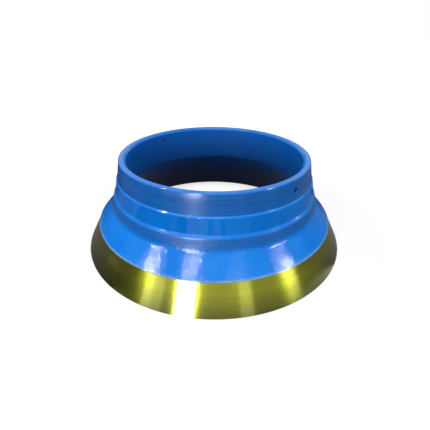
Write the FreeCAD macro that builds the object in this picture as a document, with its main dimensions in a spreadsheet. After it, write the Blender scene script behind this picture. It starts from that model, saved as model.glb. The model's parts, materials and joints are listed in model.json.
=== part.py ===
import FreeCAD
import Part
import Sketcher
import os

# Cone crusher mantle: one manganese steel casting, with turned bands round the mouth, a turned seat round
# the foot and two drilled lifting holes. It stands on its wide end, with the origin at the centre of the
# bottom face and +Z towards the mouth. Lengths are millimetres and angles are degrees.

NODE = "mantle"

# The driving sizes, each a cell of the spreadsheet with this alias.
SIZES = {
    "overall_height": 426,
    "bottom_radius": 650,
    "bottom_wall": 82,
    "mouth_radius": 420,
    "mouth_bore_depth": 176,
    "rim_wall": 32,
    "band_taper": 10.4,
    "upper_band_height": 86,
    "upper_ledge_width": 6,
    "lower_band_height": 66,
    "lower_ledge_width": 9.5,
    "neck_height": 53,
    "neck_spread": 15.5,
    "seat_height": 121,
    "seat_taper": 29.2,
    "seat_step": 2.5,
    "rim_round": 5,
    "ledge_round": 2.5,
    "neck_round": 50,
    "bore_foot_round": 30,
    "mouth_chamfer": 10,
    "foot_chamfer": 2.5,
    "inner_foot_chamfer": 5,
    "lifting_hole_diameter": 25,
    "lifting_hole_drop": 48,
    "lifting_hole_turn": 45,
    "lifting_hole_count": 2,
}

# What the wall section's corners are worked out from. The bands share one taper, and each ledge is a
# 45 degree bevel, as deep as it is wide.
RIM_RADIUS = "(Sizes.mouth_radius + Sizes.rim_wall)"
BAND_SLOPE = "tan(Sizes.band_taper * 1deg)"
UPPER_BAND_FOOT = "(Sizes.overall_height - Sizes.upper_band_height)"
UPPER_LEDGE_FOOT = f"({UPPER_BAND_FOOT} - Sizes.upper_ledge_width)"
LOWER_BAND_FOOT = f"({UPPER_LEDGE_FOOT} - Sizes.lower_band_height)"
LOWER_LEDGE_FOOT = f"({LOWER_BAND_FOOT} - Sizes.lower_ledge_width)"
UPPER_BAND_RADIUS = f"({RIM_RADIUS} + Sizes.upper_band_height * {BAND_SLOPE})"
UPPER_LEDGE_RADIUS = f"({UPPER_BAND_RADIUS} + Sizes.upper_ledge_width)"
LOWER_BAND_RADIUS = f"({UPPER_LEDGE_RADIUS} + Sizes.lower_band_height * {BAND_SLOPE})"
LOWER_LEDGE_RADIUS = f"({LOWER_BAND_RADIUS} + Sizes.lower_ledge_width)"
SEAT_TOP_RADIUS = "(Sizes.bottom_radius - Sizes.seat_height * tan(Sizes.seat_taper * 1deg))"
STEP_ACROSS = "Sizes.seat_step * cos(Sizes.seat_taper * 1deg)"
STEP_UP = "Sizes.seat_step * sin(Sizes.seat_taper * 1deg)"

# The corners of the closed wall section: name, radius and height. They run from the mouth down the outside,
# across the bottom face and back up the inside. The rough casting stands proud of the turned seat by a step
# that is square to the seat.
SECTION = [
    ("mouth", "Sizes.mouth_radius", "Sizes.overall_height"),
    ("rim", RIM_RADIUS, "Sizes.overall_height"),
    ("upper_band_foot", UPPER_BAND_RADIUS, UPPER_BAND_FOOT),
    ("upper_ledge_foot", UPPER_LEDGE_RADIUS, UPPER_LEDGE_FOOT),
    ("lower_band_foot", LOWER_BAND_RADIUS, LOWER_BAND_FOOT),
    ("lower_ledge_foot", LOWER_LEDGE_RADIUS, LOWER_LEDGE_FOOT),
    ("neck", f"{LOWER_LEDGE_RADIUS} + Sizes.neck_spread", f"{LOWER_LEDGE_FOOT} - Sizes.neck_height"),
    ("paint_edge", f"{SEAT_TOP_RADIUS} + {STEP_ACROSS}", f"Sizes.seat_height + {STEP_UP}"),
    ("seat_top", SEAT_TOP_RADIUS, "Sizes.seat_height"),
    ("foot", "Sizes.bottom_radius", "0"),
    ("inner_foot", "Sizes.bottom_radius - Sizes.bottom_wall", "0"),
    ("bore_foot", "Sizes.mouth_radius", "Sizes.overall_height - Sizes.mouth_bore_depth"),
]

# The corners that are rounded, as arcs of the section, and those that are chamfered, as rings of the wall.
ROUNDS = [
    ("neck", "neck_round"),
    ("upper_ledge_foot", "ledge_round"),
    ("lower_ledge_foot", "ledge_round"),
    ("rim", "rim_round"),
    ("bore_foot", "bore_foot_round"),
]
CHAMFERS = [
    ("mouth", "mouth_chamfer"),
    ("foot", "foot_chamfer"),
    ("inner_foot", "inner_foot_chamfer"),
]

# How closely an edge has to lie to the corner that it is looked up by, and the holes' volumes to each other.
EDGE_MATCH = 0.01
HOLE_MATCH = 0.03


def make_sheet(doc):
    """The spreadsheet of driving sizes."""
    sheet = doc.addObject("Spreadsheet::Sheet", "Sizes")
    for row, (alias, number) in enumerate(SIZES.items(), start=1):
        sheet.set(f"A{row}", alias)
        sheet.set(f"B{row}", str(number))
        sheet.setAlias(f"B{row}", alias)
    doc.recompute()


def worked_out(body, expression):
    """What an expression comes to with the sheet's present sizes."""
    result = body.evalExpression(expression)
    return float(getattr(result, "Value", result))


def origin_feature(body, role):
    """The body's own origin plane or axis with that role."""
    return next(feature for feature in body.Origin.OriginFeatures if feature.Role == role)


def new_sketch(body, name):
    """A sketch on the body's upright XZ plane, with its own X across and its own Y up."""
    sketch = body.newObject("Sketcher::SketchObject", name)
    sketch.AttachmentSupport = [(origin_feature(body, "XZ_Plane"), "")]
    sketch.MapMode = "FlatFace"
    return sketch


def bind(sketch, constraint, name, expression):
    """Adds a constraint that has a name and follows an expression."""
    index = sketch.addConstraint(constraint)
    sketch.renameConstraint(index, name)
    sketch.setExpression(f"Constraints.{name}", expression)


def draw_section(body):
    """The closed wall section, each corner held by its radius and its height."""
    sketch = new_sketch(body, "WallSection")
    corners = [(worked_out(body, across), worked_out(body, up)) for _, across, up in SECTION]
    points = [FreeCAD.Vector(across, up, 0) for across, up in corners]
    for start, end in zip(points, points[1:] + points[:1]):
        sketch.addGeometry(Part.LineSegment(start, end))
    for line, (name, across, up) in enumerate(SECTION):
        before = (line - 1) % len(SECTION)
        sketch.addConstraint(Sketcher.Constraint("Coincident", before, 2, line, 1))
        radius = Sketcher.Constraint("DistanceX", -1, 1, line, 1, points[line].x)
        bind(sketch, radius, f"{name}_radius", across)
        if points[line].y:
            height = Sketcher.Constraint("DistanceY", -1, 1, line, 1, points[line].y)
            bind(sketch, height, f"{name}_height", up)
        else:
            sketch.addConstraint(Sketcher.Constraint("PointOnObject", line, 1, -1))
    for corner, alias in ROUNDS:
        round_corner(sketch, corner, alias)
    body.Document.recompute()
    return sketch


def round_corner(sketch, corner, alias):
    """Turns a corner of the section into an arc whose radius follows the sheet. The corner stays as a point."""
    line = [name for name, _, _ in SECTION].index(corner)
    arc = sketch.GeometryCount
    sketch.fillet(line, 1, float(SIZES[alias]), True, True)
    bind(sketch, Sketcher.Constraint("Radius", arc, float(SIZES[alias])), f"{corner}_round", f"Sizes.{alias}")


def revolve_wall(body, sketch):
    """The wall, its section turned all the way round Z."""
    wall = body.newObject("PartDesign::Revolution", "Wall")
    wall.Profile = sketch
    wall.ReferenceAxis = (origin_feature(body, "Z_Axis"), [""])
    wall.Angle = 360
    sketch.Visibility = False
    body.Document.recompute()
    return wall


def edge_at(body, corner):
    """The name of the ring edge of the present solid that runs through a corner of the section."""
    _, across, up = next(row for row in SECTION if row[0] == corner)
    radius, height = worked_out(body, across), worked_out(body, up)
    for number, edge in enumerate(body.Tip.Shape.Edges, start=1):
        if not isinstance(edge.Curve, Part.Circle):
            continue
        off = max(abs(edge.Curve.Radius - radius), abs(edge.Curve.Center.z - height))
        if off < EDGE_MATCH:
            return f"Edge{number}"
    raise RuntimeError(f"no edge at {corner}")


def chamfer_edges(body):
    """The chamfers, one feature for each corner."""
    for corner, alias in CHAMFERS:
        name = edge_at(body, corner)
        base = body.Tip
        chamfer = body.newObject("PartDesign::Chamfer", "".join(word.title() for word in alias.split("_")))
        chamfer.Base = (base, [name])
        chamfer.setExpression("Size", f"Sizes.{alias}")
        body.Document.recompute()


def drill_lifting_holes(body):
    """The radial lifting holes through the rim's wall: one hole, repeated round Z."""
    plain_volume = body.Shape.Volume
    sketch = new_sketch(body, "LiftingHoleCircle")
    sketch.AttachmentOffset = FreeCAD.Placement(
        FreeCAD.Vector(), FreeCAD.Rotation(FreeCAD.Vector(0, 1, 0), SIZES["lifting_hole_turn"])
    )
    sketch.setExpression("AttachmentOffset.Rotation.Angle", "Sizes.lifting_hole_turn * 1deg")
    centre = FreeCAD.Vector(0, worked_out(body, "Sizes.overall_height - Sizes.lifting_hole_drop"), 0)
    radius = SIZES["lifting_hole_diameter"] / 2
    sketch.addGeometry(Part.Circle(centre, FreeCAD.Vector(0, 0, 1), radius))
    sketch.addConstraint(Sketcher.Constraint("PointOnObject", 0, 3, -2))
    height = Sketcher.Constraint("DistanceY", -1, 1, 0, 3, centre.y)
    bind(sketch, height, "hole_height", "Sizes.overall_height - Sizes.lifting_hole_drop")
    bind(sketch, Sketcher.Constraint("Diameter", 0, 2 * radius), "hole_diameter", "Sizes.lifting_hole_diameter")
    body.Document.recompute()

    hole = body.newObject("PartDesign::Pocket", "LiftingHole")
    hole.Profile = sketch
    hole.Type = "ThroughAll"
    hole.Reversed = True
    sketch.Visibility = False
    body.Document.recompute()
    one_hole = plain_volume - body.Shape.Volume

    ring = body.newObject("PartDesign::PolarPattern", "LiftingHoles")
    ring.Originals = [hole]
    ring.Axis = (origin_feature(body, "Z_Axis"), [""])
    ring.Angle = 360
    ring.setExpression("Occurrences", "Sizes.lifting_hole_count")
    body.Tip = ring
    body.Document.recompute()
    all_holes = plain_volume - body.Shape.Volume
    if one_hole <= 0 or abs(all_holes / one_hole - SIZES["lifting_hole_count"]) > HOLE_MATCH:
        raise RuntimeError(f"the lifting holes cut {one_hole} and {all_holes} cubic millimetres")


def check(doc, body):
    """Stops before anything is written if a feature failed or the casting isn't one valid solid."""
    for item in doc.Objects:
        if {"Invalid", "Error"} & set(item.State):
            raise RuntimeError(f"{item.Name} failed: {item.State}")
    shape = body.Shape
    if shape.isNull() or not shape.isValid() or len(shape.Solids) != 1:
        raise RuntimeError("the casting is not one valid solid")


def main():
    doc = FreeCAD.newDocument("ConeCrusherMantle")
    make_sheet(doc)
    body = doc.addObject("PartDesign::Body", "Mantle")
    body.Label = NODE
    revolve_wall(body, draw_section(body))
    chamfer_edges(body)
    drill_lifting_holes(body)
    check(doc, body)
    os.makedirs("parts", exist_ok=True)
    body.Shape.exportStep(f"parts/{body.Label}.step")
    box = body.Shape.BoundBox
    print(f"{NODE}: {box.XLength:.1f} x {box.YLength:.1f} x {box.ZLength:.1f} mm,"
          f" {body.Shape.Volume * 1e-9:.5f} cubic metres")


main()
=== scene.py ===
"""A cone crusher mantle: one steel casting in gloss blue paint, with a bare turned seat round its foot."""

import json
import math

import bmesh
import bpy
from mathutils import Matrix, Vector


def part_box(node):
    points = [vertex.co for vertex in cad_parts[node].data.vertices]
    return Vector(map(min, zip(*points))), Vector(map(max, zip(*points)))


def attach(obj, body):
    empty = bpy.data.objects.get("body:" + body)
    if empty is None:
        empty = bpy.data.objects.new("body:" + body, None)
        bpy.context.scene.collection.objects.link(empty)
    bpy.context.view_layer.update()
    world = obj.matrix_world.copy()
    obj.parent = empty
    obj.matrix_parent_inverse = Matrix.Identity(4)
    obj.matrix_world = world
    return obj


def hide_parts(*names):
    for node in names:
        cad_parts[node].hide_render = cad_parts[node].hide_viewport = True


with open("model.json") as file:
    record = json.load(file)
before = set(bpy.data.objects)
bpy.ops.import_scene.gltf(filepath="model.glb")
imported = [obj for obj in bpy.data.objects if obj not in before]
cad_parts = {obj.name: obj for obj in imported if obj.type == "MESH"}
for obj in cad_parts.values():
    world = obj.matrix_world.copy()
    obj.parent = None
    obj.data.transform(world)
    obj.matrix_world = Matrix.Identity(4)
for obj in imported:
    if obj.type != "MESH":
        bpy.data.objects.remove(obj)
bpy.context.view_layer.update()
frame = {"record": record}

# ---------------------------------------------------------------- the casting's sizes, in metres

MOUNTS = {mount["name"]: mount for mount in frame["record"]["mounts"]}
LOW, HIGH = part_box("mantle")
HEIGHT = HIGH.z - LOW.z
MOUTH_RADIUS = MOUNTS["mouth_bore"]["dims"]["r_mm"] / 1000
HOLE_RADIUS = MOUNTS["lifting_hole_front"]["dims"]["r_mm"] / 1000
HOLE_PLACE = Vector(MOUNTS["lifting_hole_front"]["pos_m"])
HOLE_COUNT = sum(name.startswith("lifting_hole") for name in MOUNTS)

FOOT_CHAMFER = 0.0025
SEAT_TAPER = math.radians(29.2)
SEAT_HEIGHT = 0.121
SEAT_STEP = 0.0025
FOOT_RADIUS = min(-LOW.x, HIGH.x, -LOW.y, HIGH.y)
BOTTOM_WALL = 0.082
RIM_WALL = 0.032
BORE_DEPTH = 0.176
BAND_TAPER = math.radians(10.4)
UPPER_BAND_HEIGHT = 0.086
UPPER_LEDGE_WIDTH = 0.006
LOWER_BAND_HEIGHT = 0.066
LOWER_LEDGE_WIDTH = 0.0095
NECK_HEIGHT = 0.053
NECK_SPREAD = 0.0155
MOUTH_CHAMFER = 0.010
INNER_CHAMFER = 0.005
UPPER_BAND_FOOT = HEIGHT - UPPER_BAND_HEIGHT
LOWER_BAND_TOP = UPPER_BAND_FOOT - UPPER_LEDGE_WIDTH
LOWER_BAND_FOOT = LOWER_BAND_TOP - LOWER_BAND_HEIGHT
NECK_FOOT = LOWER_BAND_FOOT - LOWER_LEDGE_WIDTH - NECK_HEIGHT
BORE_FOOT = HEIGHT - BORE_DEPTH

RIM_ROUND = 0.005
LEDGE_ROUND = 0.0025
LEDGE_ROOT = 0.0012
NECK_ROUND = 0.05
PAINT_EDGE_ROUND = 0.0012
BORE_FOOT_ROUND = 0.03

# How far apart the rings of the mesh lie, where the skin is rough as cast and where it is turned.
CAST_SPACING = 0.0052
TURNED_SPACING = 0.03
STEPS_ROUND = 576
ROUND_STEPS = 5
HOLE_STEPS = 40

# Points closer than this are one point where the turned sheet meets itself.
SEAM_GAP = 2e-5

# An edge sharper than this stays crisp.
CRISP_EDGE = math.radians(30)

# The cast skin reaches its full roughness at this share of the cast attribute.
CAST_EDGE = 0.12

# Faces whose middle lies less than this above the seat still belong to it.
SEAT_MARGIN = 0.0002

# A face looks inwards where its normal times its place across comes to less than this.
FACING_IN = -0.1


def wall_section():
    """The corners of the wall section, from the mouth down the outside and back up the inside.

    Each is radius, height, round, spacing of the rings after it and cast skin, from 0 to 1.
    """
    slope = math.tan(BAND_TAPER)
    rim = MOUTH_RADIUS + RIM_WALL
    upper_radius = rim + UPPER_BAND_HEIGHT * slope
    upper_ledge = upper_radius + UPPER_LEDGE_WIDTH
    lower_radius = upper_ledge + LOWER_BAND_HEIGHT * slope
    lower_ledge = lower_radius + LOWER_LEDGE_WIDTH
    neck_top = LOWER_BAND_FOOT - LOWER_LEDGE_WIDTH
    bottom = FOOT_RADIUS + FOOT_CHAMFER * math.sin(SEAT_TAPER)
    seat_top = bottom - SEAT_HEIGHT * math.tan(SEAT_TAPER)
    chamfer_up = FOOT_CHAMFER * math.cos(SEAT_TAPER)
    step_across = SEAT_STEP * math.cos(SEAT_TAPER)
    step_up = SEAT_STEP * math.sin(SEAT_TAPER)
    inner_foot = bottom - BOTTOM_WALL
    cone_slope = (inner_foot - MOUTH_RADIUS) / BORE_FOOT
    wide = TURNED_SPACING
    fine = CAST_SPACING
    return [
        (MOUTH_RADIUS, HEIGHT - MOUTH_CHAMFER, 0, wide, 0),
        (MOUTH_RADIUS + MOUTH_CHAMFER, HEIGHT, 0, wide, 0),
        (rim, HEIGHT, RIM_ROUND, wide, 0),
        (upper_radius, UPPER_BAND_FOOT, LEDGE_ROOT, wide, 0),
        (upper_ledge, LOWER_BAND_TOP, LEDGE_ROUND, wide, 0),
        (lower_radius, LOWER_BAND_FOOT, LEDGE_ROOT, wide, 0),
        (lower_ledge, neck_top, LEDGE_ROUND, fine, 0),
        (lower_ledge + NECK_SPREAD, neck_top - NECK_HEIGHT, NECK_ROUND, fine, 1),
        (seat_top + step_across, SEAT_HEIGHT + step_up, PAINT_EDGE_ROUND, fine, 1),
        (seat_top, SEAT_HEIGHT, 0, wide, 0),
        (FOOT_RADIUS, chamfer_up, 0, wide, 0),
        (bottom - FOOT_CHAMFER, 0, 0, wide, 0),
        (inner_foot + INNER_CHAMFER, 0, 0, wide, 0),
        (inner_foot - INNER_CHAMFER * cone_slope, INNER_CHAMFER, 0, fine, 1),
        (MOUTH_RADIUS, BORE_FOOT, BORE_FOOT_ROUND, fine * 2, 1),
    ]


# ---------------------------------------------------------------- nodes

def add(tree, kind, inputs=None, **settings):
    """A node of the tree, with its settings, and its inputs set to values or joined to outputs of others."""
    made = tree.nodes.new(kind)
    for name, value in settings.items():
        setattr(made, name, value)
    for key, value in (inputs or {}).items():
        if isinstance(value, bpy.types.NodeSocket):
            tree.links.new(value, made.inputs[key])
        else:
            made.inputs[key].default_value = value
    return made


def maths(tree, operation, *values, kind="ShaderNodeMath"):
    """The result of one math node."""
    made = add(tree, kind, dict(enumerate(values)), operation=operation)
    return made.outputs["Value"]


def ramp(tree, value, start, end, low=0.0, high=1.0, smooth=False):
    """The value brought from the range start to end into low to high, and held there."""
    made = add(tree, "ShaderNodeMapRange", {"Value": value, "From Min": start, "From Max": end,
                                            "To Min": low, "To Max": high}, clamp=True)
    made.interpolation_type = "SMOOTHSTEP" if smooth else "LINEAR"
    return made.outputs["Result"]


# ---------------------------------------------------------------- the casting's form

def named_field(tree, name):
    """The values of an attribute of the geometry."""
    made = add(tree, "GeometryNodeInputNamedAttribute", {"Name": name}, data_type="FLOAT")
    return made.outputs["Attribute"]


def stored_values(tree, geometry, name, values, domain, data_type="FLOAT"):
    """The geometry with values kept on it as a named attribute."""
    made = add(tree, "GeometryNodeStoreNamedAttribute",
               {"Geometry": geometry, "Name": name, "Value": values}, data_type=data_type, domain=domain)
    return made.outputs["Geometry"]


def sampled_values(tree, geometry, values, index, data_type="FLOAT"):
    """Values of another geometry's points, picked by their index."""
    made = add(tree, "GeometryNodeSampleIndex", {"Geometry": geometry, "Value": values, "Index": index},
               data_type=data_type, domain="POINT")
    return made.outputs["Value"]


def casting_tree(paint, shaded_overspray, steel):
    """Turns a wall section about Z, roughens the cast skin and drills the lifting holes."""
    tree = bpy.data.node_groups.new("turned_casting", "GeometryNodeTree")
    tree.is_modifier = True
    new_socket = tree.interface.new_socket
    new_socket(name="Section", in_out="INPUT", socket_type="NodeSocketGeometry")
    new_socket(name="Steps Round", in_out="INPUT", socket_type="NodeSocketInt")
    for name in ("Skin Height", "Skin Grain", "Sag Height", "Sag Width", "Seat Height",
                 "Bare Inside Height", "Mouth Edge", "Hole Radius", "Hole Height", "Hole Turn",
                 "Hole Reach"):
        new_socket(name=name, in_out="INPUT", socket_type="NodeSocketFloat")
    new_socket(name="Hole Count", in_out="INPUT", socket_type="NodeSocketInt")
    new_socket(name="Seed", in_out="INPUT", socket_type="NodeSocketFloat")
    new_socket(name="Casting", in_out="OUTPUT", socket_type="NodeSocketGeometry")
    given = add(tree, "NodeGroupInput").outputs

    # The section as a closed curve with rounded corners, cut into rings as far apart as each corner asks.
    outline = add(tree, "GeometryNodeMeshToCurve", {"Mesh": given["Section"]}).outputs["Curve"]
    rounded = add(tree, "GeometryNodeFilletCurve",
                  {"Curve": outline, "Count": ROUND_STEPS, "Limit Radius": True,
                   "Radius": named_field(tree, "round")}, mode="POLY")
    place = add(tree, "GeometryNodeInputPosition").outputs["Position"]
    index = add(tree, "GeometryNodeInputIndex").outputs["Index"]
    after = add(tree, "GeometryNodeOffsetPointInCurve", {"Point Index": index, "Offset": 1})
    next_place = add(tree, "GeometryNodeFieldAtIndex",
                     {"Value": place, "Index": after.outputs["Point Index"]},
                     data_type="FLOAT_VECTOR", domain="POINT")
    gap = maths(tree, "DISTANCE", place, next_place.outputs["Value"], kind="ShaderNodeVectorMath")
    cuts = maths(tree, "FLOOR", maths(tree, "DIVIDE", gap, named_field(tree, "spacing")))
    section = add(tree, "GeometryNodeSubdivideCurve", {"Curve": rounded.outputs["Curve"], "Cuts": cuts})
    section = section.outputs["Curve"]
    rings = add(tree, "GeometryNodeAttributeDomainSize", {"Geometry": section}, component="CURVE")
    rings = rings.outputs["Point Count"]

    # A sheet with a column for each step round and a row for each ring, laid on the turned wall.
    columns = maths(tree, "ADD", given["Steps Round"], 1)
    rows = maths(tree, "ADD", rings, 1)
    sheet = add(tree, "GeometryNodeMeshGrid", {"Size X": 1.0, "Size Y": 1.0,
                                               "Vertices X": columns, "Vertices Y": rows})
    turned = stored_values(tree, sheet.outputs["Mesh"], "around", sheet.outputs["UV Map"],
                           "CORNER", "FLOAT2")
    column = maths(tree, "FLOOR", maths(tree, "DIVIDE", index, rows))
    ring = maths(tree, "MODULO", maths(tree, "MODULO", index, rows), rings)
    cast = sampled_values(tree, section, named_field(tree, "cast"), ring)
    turned = stored_values(tree, turned, "cast", cast, "POINT")
    spot = sampled_values(tree, section, place, ring, "FLOAT_VECTOR")
    spot = add(tree, "ShaderNodeSeparateXYZ", {"Vector": spot}).outputs
    angle = maths(tree, "MULTIPLY", maths(tree, "DIVIDE", column, given["Steps Round"]), math.tau)
    across = maths(tree, "MULTIPLY", spot["X"], maths(tree, "SINE", angle))
    along = maths(tree, "MULTIPLY", spot["X"], maths(tree, "MULTIPLY", maths(tree, "COSINE", angle), -1.0))
    wall_place = add(tree, "ShaderNodeCombineXYZ", {"X": across, "Y": along, "Z": spot["Z"]})
    wall = add(tree, "GeometryNodeSetPosition", {"Geometry": turned,
                                                 "Position": wall_place.outputs["Vector"]})
    wall = add(tree, "GeometryNodeMergeByDistance", {"Geometry": wall.outputs["Geometry"],
                                                     "Distance": SEAM_GAP})
    wall = add(tree, "GeometryNodeFlipFaces", {"Mesh": wall.outputs["Geometry"]}).outputs["Mesh"]

    # Which faces are bare steel, and which lie inside and get the dull inside paint, darkened with depth as
    # painted shade.
    normal = add(tree, "GeometryNodeInputNormal").outputs["Normal"]
    outward = add(tree, "ShaderNodeVectorMath", {0: place, 1: (1, 1, 0)}, operation="MULTIPLY")
    facing = maths(tree, "DOT_PRODUCT", normal, outward.outputs["Vector"], kind="ShaderNodeVectorMath")
    inward = maths(tree, "LESS_THAN", facing, FACING_IN)
    level = add(tree, "ShaderNodeSeparateXYZ", {"Vector": place}).outputs["Z"]
    low = maths(tree, "LESS_THAN", level, given["Seat Height"])
    cone = maths(tree, "MULTIPLY", inward, maths(tree, "GREATER_THAN", level, given["Bare Inside Height"]))
    bare = maths(tree, "MULTIPLY", low, maths(tree, "SUBTRACT", 1.0, cone))
    within = maths(tree, "MULTIPLY", cone, maths(tree, "LESS_THAN", level, given["Mouth Edge"]))
    for name, chosen in (("bare", bare), ("within", within)):
        wall = stored_values(tree, wall, name, chosen, "FACE")

    # The cast skin: a slow sag of the mould and a coarse sand grain, out along the normal.
    skin = ramp(tree, named_field(tree, "cast"), 0.0, CAST_EDGE)
    heights = []
    for height, width in (("Skin Height", "Skin Grain"), ("Sag Height", "Sag Width")):
        grain = add(tree, "ShaderNodeTexNoise", {"Vector": place, "W": given["Seed"], "Detail": 2.0,
                                                 "Scale": maths(tree, "DIVIDE", 1.0, given[width])},
                    noise_dimensions="4D")
        swing = maths(tree, "SUBTRACT", grain.outputs["Fac"], 0.5)
        heights.append(maths(tree, "MULTIPLY", swing, given[height]))
    rise = maths(tree, "MULTIPLY", maths(tree, "ADD", *heights), skin)
    offset = add(tree, "ShaderNodeVectorMath", {0: normal, "Scale": rise}, operation="SCALE")
    rough = add(tree, "GeometryNodeSetPosition", {"Geometry": wall, "Offset": offset.outputs["Vector"]})

    # The lifting holes: one drill laid out along -Y, then turned round Z to each place.
    drill = add(tree, "GeometryNodeMeshCylinder", {"Vertices": HOLE_STEPS, "Radius": given["Hole Radius"],
                                                   "Depth": given["Hole Reach"]})
    middle = maths(tree, "MULTIPLY", given["Hole Reach"], -1.0)
    laid = add(tree, "ShaderNodeCombineXYZ", {"Y": middle, "Z": given["Hole Height"]}).outputs["Vector"]
    drill = add(tree, "GeometryNodeTransform", {"Geometry": drill.outputs["Mesh"], "Translation": laid,
                                                "Rotation": (math.pi / 2, 0, 0)})
    places = add(tree, "GeometryNodeMeshLine", {"Count": given["Hole Count"], "Offset": (0, 0, 0)})
    share = maths(tree, "DIVIDE", maths(tree, "MULTIPLY", index, math.tau), given["Hole Count"])
    turn = add(tree, "ShaderNodeCombineXYZ", {"Z": maths(tree, "ADD", share, given["Hole Turn"])})
    drills = add(tree, "GeometryNodeInstanceOnPoints", {"Points": places.outputs["Mesh"],
                                                        "Instance": drill.outputs["Geometry"],
                                                        "Rotation": turn.outputs["Vector"]})
    drills = add(tree, "GeometryNodeRealizeInstances", {"Geometry": drills.outputs["Instances"]})
    drilled = add(tree, "GeometryNodeMeshBoolean", operation="DIFFERENCE", solver="EXACT")
    tree.links.new(rough.outputs["Geometry"], drilled.inputs["Mesh 1"])
    tree.links.new(drills.outputs["Geometry"], drilled.inputs["Mesh 2"])

    # Paint all over but on the bare faces, smooth but at the crisp turned edges.
    smooth = add(tree, "GeometryNodeSetShadeSmooth",
                 {"Geometry": drilled.outputs["Mesh"], "Shade Smooth": True}, domain="FACE")
    edge_angle = add(tree, "GeometryNodeInputMeshEdgeAngle").outputs["Unsigned Angle"]
    crisp = maths(tree, "GREATER_THAN", edge_angle, CRISP_EDGE)
    smooth = add(tree, "GeometryNodeSetShadeSmooth",
                 {"Geometry": smooth.outputs["Geometry"], "Selection": crisp, "Shade Smooth": False},
                 domain="EDGE")
    painted = add(tree, "GeometryNodeRealizeInstances", {"Geometry": smooth.outputs["Geometry"]})
    painted = add(tree, "GeometryNodeSetMaterial", {"Geometry": painted.outputs["Geometry"],
                                                    "Material": paint})
    dressed = painted.outputs["Geometry"]
    for name, material in (("within", shaded_overspray), ("bare", steel)):
        chosen = maths(tree, "GREATER_THAN", named_field(tree, name), 0.5)
        made = add(tree, "GeometryNodeSetMaterial", {"Geometry": dressed, "Selection": chosen,
                                                     "Material": material})
        dressed = made.outputs["Geometry"]
    add(tree, "NodeGroupOutput", {"Casting": dressed})
    return tree


def section_mesh():
    """The wall section as a closed loop in the XZ plane, with what each corner asks for as attributes."""
    corners = wall_section()
    mesh = bpy.data.meshes.new("wall_section")
    points = [(radius, 0, height) for radius, height, *_ in corners]
    loop = [(i, (i + 1) % len(points)) for i in range(len(points))]
    mesh.from_pydata(points, loop, [])
    for column, name in enumerate(("round", "spacing", "cast"), start=2):
        values = mesh.attributes.new(name, "FLOAT", "POINT").data
        for value, corner in zip(values, corners):
            value.value = corner[column]
    return mesh


def turned_casting(name, tree, sizes):
    """The whole casting as a plain mesh object."""
    section = bpy.data.objects.new(name + "_section", section_mesh())
    bpy.context.scene.collection.objects.link(section)
    modifier = section.modifiers.new("Turning", "NODES")
    modifier.node_group = tree
    for item in tree.interface.items_tree:
        if item.in_out == "INPUT" and item.name in sizes:
            modifier[item.identifier] = sizes[item.name]
    graph = bpy.context.evaluated_depsgraph_get()
    mesh = bpy.data.meshes.new_from_object(section.evaluated_get(graph), depsgraph=graph)
    bpy.data.objects.remove(section)
    casting = bpy.data.objects.new(name, mesh)
    bpy.context.scene.collection.objects.link(casting)
    shape = bmesh.new()
    shape.from_mesh(mesh)
    triangles = sum(len(face.verts) - 2 for face in shape.faces)
    open_edges = sum(not edge.is_manifold for edge in shape.edges)
    volume = shape.calc_volume(signed=True)
    shape.free()
    print(f"{name}: {triangles} triangles, {open_edges} open edges, {volume:.5f} cubic metres")
    return casting


# ---------------------------------------------------------------- finishes

# The colours of the finishes, the darker end of each pair first.
FULL_BLUE = (0.002, 0.225, 0.88), (0.005, 0.265, 0.95)
THIN_BLUE = (0.005, 0.125, 0.50), (0.014, 0.185, 0.66)
SCUFFED_BLUE = (0.008, 0.20, 0.74), (0.05, 0.21, 0.60)
# Painted shade: the neck hollow under the lower ledge is darkened, besides being dusty.
SHADED_DUSTY_BLUE = (0.008, 0.13, 0.47)
# Pale blue at the paint's lower edge: wear, and a painted highlight of the rounded edge.
WORN_HIGHLIGHT_BLUE = (0.30, 0.48, 0.70)
# Painted shade: the inside paint goes near black deep inside the casting.
OVERSPRAY_SHADE_BLUE = (0.003, 0.010, 0.045), (0.003, 0.16, 0.66)
VARNISH_YELLOW = (0.215, 0.225, 0.008), (0.27, 0.28, 0.014)
# Painted shade: the seat darkens towards the foot.
FOOT_SHADE_YELLOW = (0.075, 0.080, 0.004)

def new_material(name):
    """A material with one Principled shader, and its tree."""
    material = bpy.data.materials.new(name)
    material.use_nodes = True
    tree = material.node_tree
    shader = next(node for node in tree.nodes if node.type == "BSDF_PRINCIPLED")
    return material, tree, shader


def blend(tree, factor, low_colour, high_colour):
    """A colour between two, each a tuple or another node's output."""
    made = add(tree, "ShaderNodeMix", {"Factor": factor}, data_type="RGBA")
    for key, colour in ((6, low_colour), (7, high_colour)):
        if isinstance(colour, bpy.types.NodeSocket):
            tree.links.new(colour, made.inputs[key])
        else:
            made.inputs[key].default_value = (*colour, 1)
    return made.outputs[2]


def noise(tree, place, scale, detail=2.0):
    """Noise from 0 to 1, its grain 1 / scale metres."""
    made = add(tree, "ShaderNodeTexNoise", {"Vector": place, "Scale": scale, "Detail": detail})
    return made.outputs["Fac"]


def lathe_lines(tree, place, pitch, detail=2.0):
    """Noise that runs round the casting in fine lines, about pitch metres apart."""
    lines = add(tree, "ShaderNodeMapping", {"Vector": place, "Scale": (1.5, 1.5, 1 / pitch)})
    return noise(tree, lines.outputs["Vector"], 1.0, detail)


def band_mask(tree, height, bottom, top, edge=0.002):
    """1 between two heights on the casting, falling to 0 over the edge."""
    above = ramp(tree, height, bottom - edge, bottom + edge)
    below = ramp(tree, height, top + edge, top - edge)
    return maths(tree, "MULTIPLY", above, below)


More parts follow.
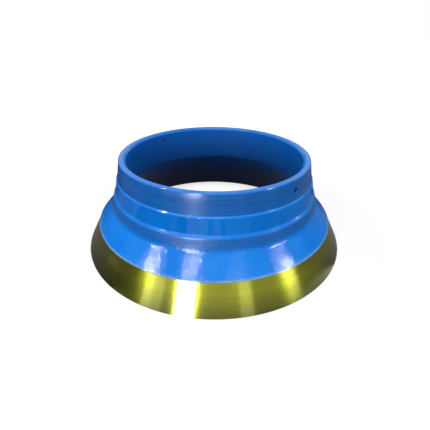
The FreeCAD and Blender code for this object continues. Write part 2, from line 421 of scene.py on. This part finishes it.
def gloss_blue_paint():
    """Gloss blue paint: thin on the upper band, dust and painted shade in the neck, thick on the flare, with
    wear and a painted highlight at its edge.
    """
    material, tree, shader = new_material("gloss_blue_paint")
    place = add(tree, "ShaderNodeTexCoord").outputs["Object"]
    height = add(tree, "ShaderNodeSeparateXYZ", {"Vector": place}).outputs["Z"]
    cast = add(tree, "ShaderNodeAttribute", attribute_name="cast").outputs["Fac"]
    cast = ramp(tree, cast, 0.0, CAST_EDGE)
    upper = band_mask(tree, height, UPPER_BAND_FOOT, HEIGHT - RIM_ROUND)
    lower = band_mask(tree, height, LOWER_BAND_FOOT, LOWER_BAND_TOP)

    clouds = ramp(tree, noise(tree, place, 7.0, 3.0), 0.35, 0.65)
    full = blend(tree, clouds, *FULL_BLUE)
    streaks = ramp(tree, lathe_lines(tree, place, 0.006, 3.0), 0.3, 0.7)
    thin = blend(tree, streaks, *THIN_BLUE)
    colour = blend(tree, upper, full, thin)
    # The neck hollow gets a darker colour, dust and painted shade under the lower ledge; the dust also makes
    # it rougher.
    hollow = band_mask(tree, height, NECK_FOOT + 0.012, LOWER_BAND_FOOT - LOWER_LEDGE_WIDTH, 0.010)
    dust_and_shade = maths(tree, "MULTIPLY", hollow, ramp(tree, noise(tree, place, 14.0, 3.0), 0.3, 0.7, 0.55, 0.85))
    colour = blend(tree, dust_and_shade, colour, SHADED_DUSTY_BLUE)
    scuffs = ramp(tree, noise(tree, place, 45.0, 4.0), 0.42, 0.62)
    scuffed = blend(tree, scuffs, *SCUFFED_BLUE)
    colour = blend(tree, ramp(tree, height, HEIGHT - RIM_ROUND, HEIGHT - 0.001), colour, scuffed)
    # A pale strip along the paint's lower edge above the seat: wear, and a painted highlight of the edge.
    worn_highlight = ramp(tree, height, SEAT_HEIGHT + 0.012, SEAT_HEIGHT + 0.001, smooth=True)
    worn_highlight = maths(tree, "MULTIPLY", cast, worn_highlight)
    patchy = ramp(tree, noise(tree, place, 60.0, 3.0), 0.35, 0.65, 0.5, 1.0)
    worn_highlight = maths(tree, "MULTIPLY", worn_highlight, patchy)
    colour = blend(tree, worn_highlight, colour, WORN_HIGHLIGHT_BLUE)
    tree.links.new(colour, shader.inputs["Base Color"])

    peel = maths(tree, "MULTIPLY", noise(tree, place, 170.0), 0.00045)
    lumps = maths(tree, "MULTIPLY", noise(tree, place, 75.0), 0.0008)
    grain = maths(tree, "MULTIPLY", maths(tree, "ADD", peel, lumps), cast)
    tool_lines = maths(tree, "MULTIPLY", lathe_lines(tree, place, 0.0024), 0.00006)
    relief = maths(tree, "ADD", grain, maths(tree, "MULTIPLY", tool_lines, upper))
    bump = add(tree, "ShaderNodeBump", {"Height": relief, "Distance": 1.0, "Strength": 1.0})
    tree.links.new(bump.outputs["Normal"], shader.inputs["Normal"])

    roughness = ramp(tree, cast, 0.0, 1.0, 0.12, 0.05)
    roughness = maths(tree, "ADD", roughness, maths(tree, "MULTIPLY", upper, 0.12))
    roughness = maths(tree, "ADD", roughness, maths(tree, "MULTIPLY", dust_and_shade, 0.45))
    roughness = maths(tree, "SUBTRACT", roughness, maths(tree, "MULTIPLY", lower, 0.08))
    tree.links.new(roughness, shader.inputs["Roughness"])
    shader.inputs["Specular IOR Level"].default_value = 0.18
    return material


def dull_blue_overspray_and_shade():
    """The paint inside: dull, and darker the deeper it lies, as painted shade where little light reaches."""
    material, tree, shader = new_material("dull_blue_overspray_and_shade")
    place = add(tree, "ShaderNodeTexCoord").outputs["Object"]
    height = add(tree, "ShaderNodeSeparateXYZ", {"Vector": place}).outputs["Z"]
    drift = maths(tree, "MULTIPLY", maths(tree, "SUBTRACT", noise(tree, place, 9.0), 0.5), 0.05)
    # Painted shade: the deeper inside, the darker the colour.
    cover_and_shade = ramp(tree, maths(tree, "ADD", height, drift), BORE_FOOT - 0.11, HEIGHT)
    colour = blend(tree, cover_and_shade, *OVERSPRAY_SHADE_BLUE)
    tree.links.new(colour, shader.inputs["Base Color"])
    relief = maths(tree, "MULTIPLY", noise(tree, place, 160.0, 3.0), 0.0006)
    bump = add(tree, "ShaderNodeBump", {"Height": relief, "Distance": 1.0, "Strength": 1.0})
    tree.links.new(bump.outputs["Normal"], shader.inputs["Normal"])
    shader.inputs["Roughness"].default_value = 0.6
    shader.inputs["Specular IOR Level"].default_value = 0.05
    return material


def turned_steel():
    """Turned steel under a yellow rust-proofing varnish, with fine lathe lines, and painted shade that
    darkens it towards the foot.
    """
    material, tree, shader = new_material("varnished_turned_steel")
    place = add(tree, "ShaderNodeTexCoord").outputs["Object"]
    lathe = lathe_lines(tree, place, 0.005, 3.0)
    tint = blend(tree, ramp(tree, lathe, 0.3, 0.7), *VARNISH_YELLOW)
    height = add(tree, "ShaderNodeSeparateXYZ", {"Vector": place}).outputs["Z"]
    # Painted shade: the seat is darker towards the foot.
    tint = blend(tree, ramp(tree, height, 0.085, 0.0), tint, FOOT_SHADE_YELLOW)
    tree.links.new(tint, shader.inputs["Base Color"])
    relief = maths(tree, "MULTIPLY", lathe_lines(tree, place, 0.003), 0.00002)
    bump = add(tree, "ShaderNodeBump", {"Height": relief, "Distance": 1.0, "Strength": 1.0})
    tree.links.new(bump.outputs["Normal"], shader.inputs["Normal"])
    shader.inputs["Metallic"].default_value = 1.0
    shader.inputs["Roughness"].default_value = 0.22
    shader.inputs["Anisotropic"].default_value = 0.9
    shader.inputs["Anisotropic Rotation"].default_value = 0.25
    shader.inputs["Coat Weight"].default_value = 0.6
    shader.inputs["Coat Roughness"].default_value = 0.1
    around = add(tree, "ShaderNodeTangent", direction_type="UV_MAP", uv_map="around")
    tree.links.new(around.outputs["Tangent"], shader.inputs["Tangent"])
    return material


# ---------------------------------------------------------------- the studio

CAMERA_DISTANCE = 1.4092
CAMERA_HEIGHT = 0.9146
CAMERA_PITCH = math.radians(31.054)
CAMERA_YAW = math.radians(0.16)
CAMERA_ROLL = math.radians(0.512)
SENSOR = 36.0
LENS = 25.21


def add_camera():
    """The camera in front of the casting, looking down on it."""
    data = bpy.data.cameras.new("front_camera")
    data.lens = LENS
    data.sensor_width = SENSOR
    camera = bpy.data.objects.new("front_camera", data)
    aim = (Matrix.Rotation(-CAMERA_YAW, 4, "Z") @ Matrix.Rotation(math.pi / 2 - CAMERA_PITCH, 4, "X")
           @ Matrix.Rotation(CAMERA_ROLL, 4, "Z"))
    camera.matrix_world = Matrix.Translation((0, -CAMERA_DISTANCE, CAMERA_HEIGHT)) @ aim
    bpy.context.scene.collection.objects.link(camera)
    bpy.context.scene.camera = camera


def around_casting(turn, radius, height):
    """The point at turn degrees round from the front, at a radius and a height."""
    turn = math.radians(turn)
    return Vector((radius * math.sin(turn), -radius * math.cos(turn), height))


def add_lamp(name, place, aim_at, width, height, glow):
    """A rectangular lamp that gives off glow a square metre."""
    data = bpy.data.lights.new(name, "AREA")
    data.shape = "RECTANGLE"
    data.size = width
    data.size_y = height
    data.energy = glow * math.pi * width * height
    lamp = bpy.data.objects.new(name, data)
    lamp.location = place
    lamp.rotation_euler = (place - aim_at).to_track_quat("Z", "Y").to_euler()
    bpy.context.scene.collection.objects.link(lamp)
    return lamp


WINDOW_REACH = 4.0

# The windows that the gloss of the casting shows: the turns they span in degrees, their lowest and
# highest point, and their glow.
WINDOWS = {
    "tall_window": (-27.4, -13.2, 0.15, 2.45, 40.0),
    "faint_window": (-28.0, 0.0, 2.6, 3.35, 2.2),
    "high_lamp": (-24.5, -20.0, 3.1, 3.4, 220.0),
    "left_strip": (-52.0, -45.0, 0.05, 0.75, 3.0),
    "left_dim_strip": (-45.0, -37.0, 0.05, 0.75, 2.0),
    "left_lamp": (-60.0, -50.0, 1.85, 2.25, 120.0),
    "left_high_lamp": (-64.0, -59.0, 3.5, 3.8, 150.0),
    "right_strip": (18.5, 28.0, 0.1, 1.2, 1.6),
    "right_strip_head": (12.0, 27.0, 2.45, 2.6, 30.0),
    "far_right_strip": (56.0, 65.0, 0.05, 0.75, 1.7),
    "far_right_lamp": (56.0, 67.0, 1.5, 1.85, 110.0),
    "far_right_high_lamp": (70.0, 73.0, 3.5, 3.8, 120.0),
    "side_lamp": (93.5, 95.0, 1.7, 1.8, 120.0),
    "side_window": (104.0, 132.0, 1.9, 2.9, 3.0),
    "back_window": (168.0, 184.0, 1.7, 2.6, 6.0),
}


def add_windows():
    """Upright windows round the casting that only its gloss shows."""
    for name, (turn_from, turn_to, low, high, glow) in WINDOWS.items():
        turn = (turn_from + turn_to) / 2
        width = 2 * WINDOW_REACH * math.tan(math.radians(turn_to - turn_from) / 2)
        middle = (low + high) / 2
        window = add_lamp(name, around_casting(turn, WINDOW_REACH, middle), Vector((0, 0, middle)),
                          width, high - low, glow)
        window.visible_diffuse = False


SOFTBOX_TURN = -20.0
SOFTBOX_REACH = 1.56
SOFTBOX_HEIGHT = 3.55
SOFTBOX_SIDE = 3.0
SOFTBOX_GLOW = 2.9


def add_softbox():
    """The broad soft light from above."""
    place = around_casting(SOFTBOX_TURN, SOFTBOX_REACH, SOFTBOX_HEIGHT)
    add_lamp("main_softbox", place, Vector((0, 0, HEIGHT / 2)), SOFTBOX_SIDE, SOFTBOX_SIDE, SOFTBOX_GLOW)


# The floor as the gloss of the casting shows it: sectors that span two turns in degrees, and their glow.
FLOOR_CARDS = {
    "left_card": (-180, -108, 0.05),
    "left_middle_card": (-108, -79, 0.20),
    "left_streak_card": (-79, -74.5, 0.6),
    "left_dark_card": (-74.5, -38, 0.10),
    "left_pale_card": (-38, -32.5, 0.6),
    "left_post": (-32.5, -24, 0.03),
    "middle_pale_card": (-24, -5.3, 1.4),
    "middle_post": (-5.3, -1.2, 0.05),
    "pale_card": (-1.2, 6, 0.9),
    "right_post": (6, 10, 0.1),
    "right_pale_card": (10, 31.5, 0.6),
    "far_right_post": (31.5, 35, 0.1),
    "right_card": (35, 180, 0.25),
}

# The floor close by the casting's sides, in the same way.
NEAR_CARDS = {
    "left_back_near_card": (-180, -108, 0.04),
    "left_near_card": (-108, -42, 0.16),
    "right_near_card": (60, 112, 0.2),
    "right_back_near_card": (112, 180, 0.05),
}

# The walls beyond the floor: the turns they span, their reach and height, and glow.
WALL_CARDS = {
    "left_wall": (-180, -53, 4.1, 1.4, 0.18),
    "right_wall": (67, 180, 4.1, 1.4, 0.25),
    "right_front_wall": (28, 53, 4.0, 0.9, 0.65),
}
CARD_CLOSEST = 0.652
CARD_NEAR = 1.25
CARD_FAR = 4.0
CARD_LIFT = 0.001
CARD_STEP = 4


def add_card(name, turn_from, turn_to, near, far, glow):
    """A sector of card that only the gloss of the casting shows, from one radius and height to another."""
    steps = max(2, round((turn_to - turn_from) / CARD_STEP))
    turns = [turn_from + (turn_to - turn_from) * i / steps for i in range(steps + 1)]
    points = [around_casting(turn, *edge) for turn in turns for edge in (near, far)]
    mesh = bpy.data.meshes.new(name)
    mesh.from_pydata(points, [], [(2 * i, 2 * i + 1, 2 * i + 3, 2 * i + 2) for i in range(steps)])
    card = bpy.data.objects.new(name, mesh)
    bpy.context.scene.collection.objects.link(card)
    material = bpy.data.materials.new(name)
    material.use_nodes = True
    tree = material.node_tree
    tree.nodes.clear()
    shade = add(tree, "ShaderNodeEmission", {"Color": (1, 1, 1, 1), "Strength": glow})
    add(tree, "ShaderNodeOutputMaterial", {"Surface": shade.outputs[0]})
    mesh.materials.append(material)
    card.visible_camera = False
    card.visible_diffuse = False
    card.visible_shadow = False


def add_cards():
    """The cards on the floor round the casting, close by its sides, and standing beyond them."""
    low = LOW.z + CARD_LIFT
    for name, (turn_from, turn_to, glow) in FLOOR_CARDS.items():
        add_card(name, turn_from, turn_to, (CARD_NEAR, low), (CARD_FAR, low), glow)
    for name, (turn_from, turn_to, glow) in NEAR_CARDS.items():
        add_card(name, turn_from, turn_to, (CARD_CLOSEST, low), (CARD_NEAR, low), glow)
    for name, (turn_from, turn_to, reach, height, glow) in WALL_CARDS.items():
        add_card(name, turn_from, turn_to, (reach, low), (reach, height), glow)


AMBIENT = 0.55


def seen_ray(tree):
    """1 on a ray that shows the background, straight or mirrored or through glass, else 0."""
    path = add(tree, "ShaderNodeLightPath").outputs
    mirrored = maths(tree, "MAXIMUM", path["Is Glossy Ray"], path["Is Transmission Ray"])
    return maths(tree, "MAXIMUM", path["Is Camera Ray"], mirrored)


def add_world():
    """A white surround that lights the casting only softly."""
    world = bpy.data.worlds.new("white_studio")
    world.use_nodes = True
    tree = world.node_tree
    background = next(node for node in tree.nodes if node.type == "BACKGROUND")
    background.inputs["Color"].default_value = (1, 1, 1, 1)
    strength = ramp(tree, seen_ray(tree), 0.0, 1.0, AMBIENT, 1.0)
    tree.links.new(strength, background.inputs["Strength"])
    bpy.context.scene.world = world


FLOOR_SIDE = 40.0
FLOOR_GLOW = 0.72
FLOOR_SHADE = 0.3
FLOOR_DULL = 0.08

# The floor takes a shadow from the first of these distances to the last, fully between the middle two.
SHADOW_REACH = (0.45, 0.55, 0.9, 1.6)


def add_floor():
    """A white floor that takes the casting's soft shadow, and is plain white farther off."""
    mesh = bpy.data.meshes.new("floor")
    corners = [(x * FLOOR_SIDE, y * FLOOR_SIDE, LOW.z) for x, y in ((-1, -1), (1, -1), (1, 1), (-1, 1))]
    mesh.from_pydata(corners, [], [(0, 1, 2, 3)])
    floor = bpy.data.objects.new("floor", mesh)
    bpy.context.scene.collection.objects.link(floor)
    material = bpy.data.materials.new("white_floor")
    material.use_nodes = True
    tree = material.node_tree
    tree.nodes.clear()
    place = add(tree, "ShaderNodeTexCoord").outputs["Object"]
    reach = maths(tree, "LENGTH", place, kind="ShaderNodeVectorMath")
    inner, inner_full, outer_full, outer = SHADOW_REACH
    near = ramp(tree, reach, outer, outer_full)
    near = maths(tree, "MULTIPLY", near, ramp(tree, reach, inner, inner_full))
    shadowed = add(tree, "ShaderNodeBsdfDiffuse", {"Color": (FLOOR_SHADE, FLOOR_SHADE, FLOOR_SHADE, 1)})
    white = add(tree, "ShaderNodeEmission", {"Color": (1, 1, 1, 1),
                                             "Strength": ramp(tree, near, 0.0, 1.0, 1.0, FLOOR_GLOW)})
    both = add(tree, "ShaderNodeAddShader", {0: shadowed.outputs[0], 1: white.outputs[0]})
    dull = add(tree, "ShaderNodeBsdfDiffuse", {"Color": (FLOOR_DULL, FLOOR_DULL, FLOOR_DULL, 1)})
    mixed = add(tree, "ShaderNodeMixShader", {0: seen_ray(tree), 1: dull.outputs[0], 2: both.outputs[0]})
    add(tree, "ShaderNodeOutputMaterial", {"Surface": mixed.outputs[0]})
    mesh.materials.append(material)


# ---------------------------------------------------------------- the scene

tree = casting_tree(gloss_blue_paint(), dull_blue_overspray_and_shade(), turned_steel())
casting = turned_casting("mantle_casting", tree, {
    "Steps Round": STEPS_ROUND,
    "Skin Height": 0.0006,
    "Skin Grain": 0.014,
    "Sag Height": 0.0025,
    "Sag Width": 0.11,
    "Seat Height": SEAT_HEIGHT + SEAT_MARGIN,
    "Bare Inside Height": INNER_CHAMFER,
    "Mouth Edge": HEIGHT - MOUTH_CHAMFER,
    "Hole Radius": HOLE_RADIUS,
    "Hole Height": HOLE_PLACE.z,
    "Hole Turn": math.atan2(HOLE_PLACE.x, -HOLE_PLACE.y),
    "Hole Reach": MOUTH_RADIUS,
    "Hole Count": HOLE_COUNT,
    "Seed": 3.0,
})
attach(casting, "root")
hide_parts("mantle")

add_camera()
add_softbox()
add_windows()
add_cards()
add_world()
add_floor()
bpy.context.scene.view_settings.view_transform = "Standard"
